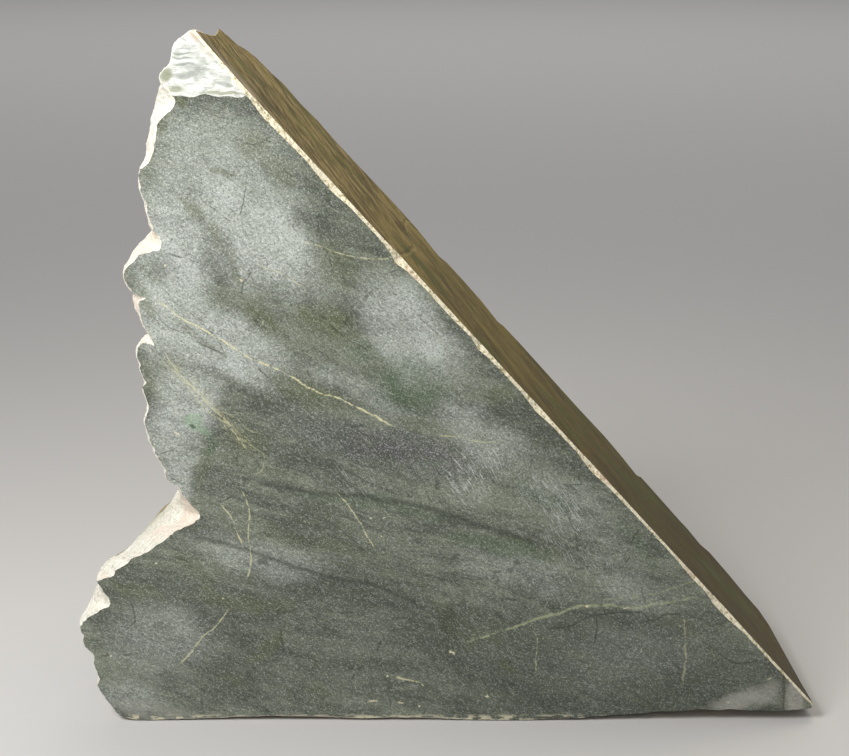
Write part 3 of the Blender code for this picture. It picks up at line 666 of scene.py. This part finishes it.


# ---- The spalled corner -------------------------------------------------------------------------
# The top corner has split away along the fibres and left a chalky white face. Fine steps run
# across it with grey lines and darker bands of painted shadow along them, and the stone shows
# olive through its thin edge.

tree, shader, place = begin("spall")
ragged = bend(tree, place, 4.0, 0.9, 21.0)
shaken = bend(tree, place, 1.6, 0.3, 22.0)
chalk = grain(tree, place, (3.0, 3.0, 1.6), 8.0, 5.0, 0.65, 21.0)
colour = lay(tree, tint("a8aba2"), tint("dadad2"), ramp(tree, chalk, 0.35, 0.6))
# Grey lines of painted shadow along the fine steps; the same noise raises them as relief.
lines = grain(tree, shaken, (9.0, 9.0, 0.42), 3.0, 3.0, 0.6, 22.0)
colour = lay(tree, colour, tint("8f958c"), ramp(tree, lines, 0.54, 0.72, 0.0, 0.75))
# Darker bands of painted shadow under the steps near the top of the spall.
shade = spots(tree, ragged, (
    (-78.6, 213.6, 5.4, 0.5, 0.0, 0.8), (-78.4, 212.2, 5.0, 0.45, 2.0, 0.8),
    (-78.0, 210.6, 5.6, 0.5, 1.0, 0.8), (-77.0, 207.6, 6.0, 1.4, 0.0, 0.7),
    (-73.0, 208.5, 2.6, 2.4, 0.0, 0.5), (-66.0, 205.0, 4.0, 0.8, 20.0, 0.5),
))
colour = lay(tree, colour, tint("7d837a"), shade)
olive = spots(tree, ragged, (
    (-83.0, 207.5, 2.6, 3.0, 20.0, 0.8), (-80.0, 203.6, 3.4, 1.6, 0.0, 0.7),
    (-66.0, 202.6, 10.0, 0.7, 2.0, 0.7),
))
colour = lay(tree, colour, tint("767a5c"), olive)
dust = spots(tree, ragged, ((-74.5, 219.0, 3.4, 2.0, 40.0, 0.9), (-71.0, 215.0, 2.0, 5.0, -40.0, 0.4)))
colour = lay(tree, colour, tint("b5a48f"), dust)
finish(tree, shader, colour, ramp(tree, chalk, 0.2, 0.8, 0.6, 0.85), lines, depth=0.00020)


# ---- The slanted saw cut ------------------------------------------------------------------------
# The long sloping face, sawn and then handled smooth. The light catches the fibres end on, so
# it looks browner than the front: olive brown, with long fine streaks that cross it at a
# narrow angle, and green in patches. Its pale tan streaks are painted stronger towards the top
# and its low end is painted darker, as light and shade fall along the slope.


def streaks(tree, place, size, turn, detail, seed):
    """Noise in streaks of a length, width and depth in mm, turned towards the front in degrees."""
    start = (seed * 19.0, seed * 3.0, 0.0)
    turned = (0.0, 0.0, math.radians(-turn))
    laid = add(tree, "Mapping", place, start, turned, size, vector_type="TEXTURE")
    return add(tree, "TexNoise", laid, None, 1.0, detail, 0.62)


tree, shader, place = begin("sawn_slant")
level = add(tree, "Mapping", place, None, (0.0, SLANT, 0.0), None, vector_type="TEXTURE")
sway = bend(tree, bend(tree, level, 40.0, 6.0, 31.0), 8.0, 1.0, 32.0)
broad = streaks(tree, sway, (34.0, 12.0, 12.0), 30.0, 5.0, 1.0)
fine = streaks(tree, sway, (13.0, 2.8, 2.8), 40.0, 5.0, 2.0)
hair = streaks(tree, sway, (6.0, 0.9, 0.9), 46.0, 4.0, 3.0)
along = tree.nodes.new("ShaderNodeSeparateXYZ")
tree.links.new(level, along.inputs[0])
tone = calc(tree, "MULTIPLY_ADD", ramp(tree, fine, 0.24, 0.76), 0.36, ramp(tree, broad, 0.28, 0.72))
tone = calc(tree, "MULTIPLY_ADD", ramp(tree, hair, 0.32, 0.68), 0.26, tone)
colour = lay(tree, tint("57491d"), tint("86763a"), ramp(tree, tone, 0.3, 1.35))
# Painted shade: darker towards the low end of the slope.
low = ramp(tree, along.outputs["X"], -130.0, 40.0, 0.0, 0.85)
colour = lay(tree, colour, tint("3f3517"), low)
# Painted light: the pale tan streaks grow stronger towards the top of the slope.
high = ramp(tree, along.outputs["X"], -70.0, -170.0)
pale = ramp(tree, calc(tree, "MULTIPLY_ADD", hair, 0.5, fine), 0.62, 0.98)
pale = calc(tree, "MULTIPLY", pale, calc(tree, "MULTIPLY_ADD", high, 0.60, 0.14))
colour = lay(tree, colour, tint("b8a577"), pale)
patches = add(tree, "Mapping", sway, (7.0, 3.0, 0.0), None, (30.0, 16.0, 16.0), vector_type="TEXTURE")
patches = add(tree, "TexNoise", patches, None, 1.0, 3.0, 0.6)
colour = lay(tree, colour, tint("56602a"), ramp(tree, patches, 0.50, 0.68, 0.0, 0.6))
knots = streaks(tree, sway, (12.0, 5.0, 5.0), 44.0, 5.0, 5.0)
colour = lay(tree, colour, tint("2f2a17"), ramp(tree, knots, 0.56, 0.80, 0.0, 0.6))

# Pale dust at the top, next to the front.
by_front = ramp(tree, along.outputs["Y"], -24.0, -40.0)
by_top = ramp(tree, along.outputs["X"], -176.0, -196.0)
dust = calc(tree, "MULTIPLY", by_front, by_top)
dust = calc(tree, "MULTIPLY", dust, ramp(tree, fine, 0.35, 0.6, 0.2, 0.85))
colour = lay(tree, colour, tint("bfb09c"), dust)

# One joint crosses the face, dark with a pale rim below it, and a few pale flecks lie on it.
spread = add(tree, "Mapping", sway, None, (math.radians(90.0), 0.0, 0.0), None)
course = ((-124.0, -40.0), (-120.5, -9.0), (-123.5, 15.0), (-119.0, 32.0))
crack = seam(tree, spread, course, 0.7, 0.42, fade=0.02)
colour = lay(tree, colour, tint("302a16"), crack)
course = ((-122.6, -40.0), (-119.1, -9.0), (-122.1, 15.0), (-117.6, 32.0))
rim = seam(tree, spread, course, 0.7, 0.26, fade=0.02)
colour = lay(tree, colour, tint("c9b684"), rim)
flecks = ramp(tree, add(tree, "TexNoise", level, None, 0.9, 2.0, 0.5), 0.70, 0.76)
colour = lay(tree, colour, tint("d8ccab"), calc(tree, "MULTIPLY", flecks, 0.6))
relief = calc(tree, "MULTIPLY_ADD", hair, 0.5, fine)
finish(tree, shader, colour, ramp(tree, fine, 0.3, 0.7, 0.42, 0.6), relief, depth=0.00020)
shader.inputs["Specular IOR Level"].default_value = 0.12


# ---- The chipped edges --------------------------------------------------------------------------
# The long edge between the front and the slanted side. Small chips have left it as a ribbon of
# crushed, cream-white grains. The far edge of the slant is chipped more finely, and duller.

tree, shader, place = begin("chips")
crumbs = grain(tree, place, (1.1, 1.1, 1.1), 0.0, 4.0, 0.6, 41.0)
stain = grain(tree, place, (9.0, 9.0, 6.0), 47.0, 3.0, 0.6, 42.0)
colour = lay(tree, tint("b9a878"), tint("f6eed2"), ramp(tree, crumbs, 0.34, 0.52))
back = tree.nodes.new("ShaderNodeSeparateXYZ")
tree.links.new(place, back.inputs[0])
back = calc(tree, "MULTIPLY_ADD", stain, 24.0, back.outputs["Y"])
colour = lay(tree, colour, tint("97865c"), ramp(tree, back, -22.0, -8.0, 0.0, 0.85))
colour = lay(tree, colour, tint("caa58c"), ramp(tree, stain, 0.56, 0.7, 0.0, 0.45))
colour = lay(tree, colour, tint("6d6a45"), ramp(tree, crumbs, 0.40, 0.28, 0.0, 0.8))
finish(tree, shader, colour, ramp(tree, crumbs, 0.2, 0.8, 0.5, 0.8), crumbs, depth=0.00030)


# ---- The broken and weathered outside -----------------------------------------------------------
# On the left the boulder was broken open, and the fresh breaks are pale, dry and splintery. Behind
# them is its old skin, a brown and tan rind that has weathered into soft lumps and pits, with
# rust and soil in its hollows and green stone showing where it has worn thin.

tree, shader, place = begin("rough")
fresh = tree.nodes.new("ShaderNodeAttribute")
fresh.attribute_name = "fresh"
fresh = fresh.outputs["Fac"]
height = tree.nodes.new("ShaderNodeAttribute")
height.attribute_name = "relief"
height = height.outputs["Fac"]
felt = grain(tree, bend(tree, place, 12.0, 2.0, 51.0), (10.0, 7.0, 1.2), 18.0, 5.0, 0.65, 51.0)
dry = grain(tree, place, (1.4, 1.4, 1.0), 10.0, 4.0, 0.65, 52.0)
wide = grain(tree, place, (22.0, 22.0, 18.0), 0.0, 4.0, 0.6, 53.0)
broken = lay(tree, tint("c4c1b2"), tint("e9e4d6"), ramp(tree, dry, 0.34, 0.6))
broken = lay(tree, broken, tint("7f8672"), ramp(tree, felt, 0.54, 0.76, 0.0, 0.55))
back = tree.nodes.new("ShaderNodeSeparateXYZ")
tree.links.new(place, back.inputs[0])
back = calc(tree, "MULTIPLY_ADD", wide, 26.0, back.outputs["Y"])
broken = lay(tree, broken, tint("8f8f74"), ramp(tree, back, -8.0, 12.0, 0.0, 0.75))
broken = lay(tree, broken, tint("dcc8b6"), ramp(tree, wide, 0.5, 0.66, 0.0, 0.6))
# Painted shade in the hollows of the fresh breaks.
broken = lay(tree, broken, tint("6c7058"), ramp(tree, height, -0.25, -0.7, 0.0, 0.7))

rind = ramp(tree, calc(tree, "MULTIPLY_ADD", dry, 0.4, wide), 0.5, 0.85)
crust = lay(tree, tint("6d6045"), tint("a2926c"), rind)
worn = grain(tree, place, (16.0, 16.0, 12.0), 20.0, 5.0, 0.65, 54.0)
crust = lay(tree, crust, tint("55603f"), ramp(tree, worn, 0.52, 0.64, 0.0, 0.8))
rust = grain(tree, place, (11.0, 11.0, 9.0), 0.0, 5.0, 0.7, 55.0)
crust = lay(tree, crust, tint("7a4f2c"), ramp(tree, rust, 0.55, 0.70, 0.0, 0.7))
crust = lay(tree, crust, tint("c2b795"), ramp(tree, height, 0.25, 0.8, 0.0, 0.6))
crust = lay(tree, crust, tint("38301f"), ramp(tree, height, -0.35, -1.1, 0.0, 0.8))
crust = lay(tree, crust, tint("2f3326"), ramp(tree, dry, 0.40, 0.26, 0.0, 0.6))
colour = lay(tree, crust, broken, fresh)
relief = calc(tree, "MULTIPLY_ADD", felt, 0.4, dry)
finish(tree, shader, colour, ramp(tree, dry, 0.2, 0.8, 0.58, 0.85), relief, depth=0.00045)


# ---- The base -----------------------------------------------------------------------------------
# The saw cut that the stone stands on. It is green as the front but scuffed, and the round
# blade has left faint arcs in it.

tree, shader, place = begin("sawn_base")
drift = bend(tree, place, 30.0, 6.0, 61.0)
turned = (0.0, 0.0, math.radians(14.0))
laid = add(tree, "Mapping", drift, None, turned, (34.0, 5.0, 5.0), vector_type="TEXTURE")
layers = add(tree, "TexNoise", laid, None, 1.0, 5.0, 0.62)
scuffs = add(tree, "TexNoise", place, None, 0.5, 4.0, 0.7)
colour = lay(tree, tint("444c3b"), tint("7c836f"), ramp(tree, layers, 0.34, 0.68))
stains = add(tree, "TexNoise", place, None, 0.04, 4.0, 0.6)
colour = lay(tree, colour, tint("5f5e3b"), ramp(tree, stains, 0.52, 0.68, 0.0, 0.7))
colour = lay(tree, colour, tint("a6aca3"), ramp(tree, scuffs, 0.56, 0.70, 0.0, 0.6))
reach = add(tree, "VectorMath", place, (-60.0, 320.0, 0.0), operation="DISTANCE")
reach = reach.node.outputs["Value"]
arcs = calc(tree, "SINE", calc(tree, "MULTIPLY", reach, 3.2))
relief = calc(tree, "MULTIPLY_ADD", arcs, 0.15, scuffs)
finish(tree, shader, colour, ramp(tree, scuffs, 0.3, 0.7, 0.45, 0.7), relief, depth=0.00015)


# ---- The table, the light and the camera --------------------------------------------------------
# The stone stands on a wide pale table. A small soft lamp at the upper left lights its front, a
# warm one above grazes the slanted side, and a large one far behind lights the table there.

bpy.ops.mesh.primitive_plane_add(size=12.0, location=(0.0, 0.0, 0.0))
floor = bpy.context.object
floor.name = "floor"
floor_paint = bpy.data.materials.new("pale_floor")
floor_paint.use_nodes = True
floor_shader = floor_paint.node_tree.nodes["Principled BSDF"]
floor_shader.inputs["Base Color"].default_value = (0.50, 0.49, 0.475, 1.0)
floor_shader.inputs["Roughness"].default_value = 0.8
floor.data.materials.append(floor_paint)

LOOK_DOWN = math.radians(16.0)
LOOK_FROM = 0.52
LOOK_AT = Vector((-0.00733, FRONT, 0.116))
eye = bpy.data.cameras.new("camera")
eye.lens = 72.0
eye.sensor_width = 36.0
camera = bpy.data.objects.new("camera", eye)
bpy.context.scene.collection.objects.link(camera)
camera.location = LOOK_AT + LOOK_FROM * Vector((0.0, -math.cos(LOOK_DOWN), math.sin(LOOK_DOWN)))
camera.rotation_euler = (math.pi / 2 - LOOK_DOWN, 0.0, 0.0)
bpy.context.scene.camera = camera


def lamp(name, shape, wide, high, power, place, aim, colour=(1.0, 1.0, 1.0)):
    """A soft lamp, its size in metres and its power in watts, turned to what it lights."""
    light = bpy.data.lights.new(name, "AREA")
    light.shape = shape
    light.size = wide
    light.size_y = high
    light.energy = power
    light.color = colour
    holder = bpy.data.objects.new(name, light)
    bpy.context.scene.collection.objects.link(holder)
    holder.location = place
    holder.rotation_euler = (Vector(aim) - holder.location).to_track_quat("-Z", "Y").to_euler()


lamp("key", "DISK", 0.24, 0.24, 3.3, (-0.29, -0.31, 0.43), (-0.03, FRONT, 0.1))
lamp("fill", "DISK", 0.3, 0.3, 0.8, (0.10, 0.10, 0.56), (0.0, 0.0, 0.12), (1.0, 0.90, 0.74))
lamp("far", "RECTANGLE", 4.0, 3.0, 42.0, (0.0, 2.6, 2.2), (0.0, 2.9, 0.0))

room = bpy.data.worlds.new("studio")
room.use_nodes = True
room.node_tree.nodes["Background"].inputs["Color"].default_value = (0.96, 0.97, 1.0, 1.0)
room.node_tree.nodes["Background"].inputs["Strength"].default_value = 0.28
bpy.context.scene.world = room
bpy.context.scene.view_settings.view_transform = "Standard"
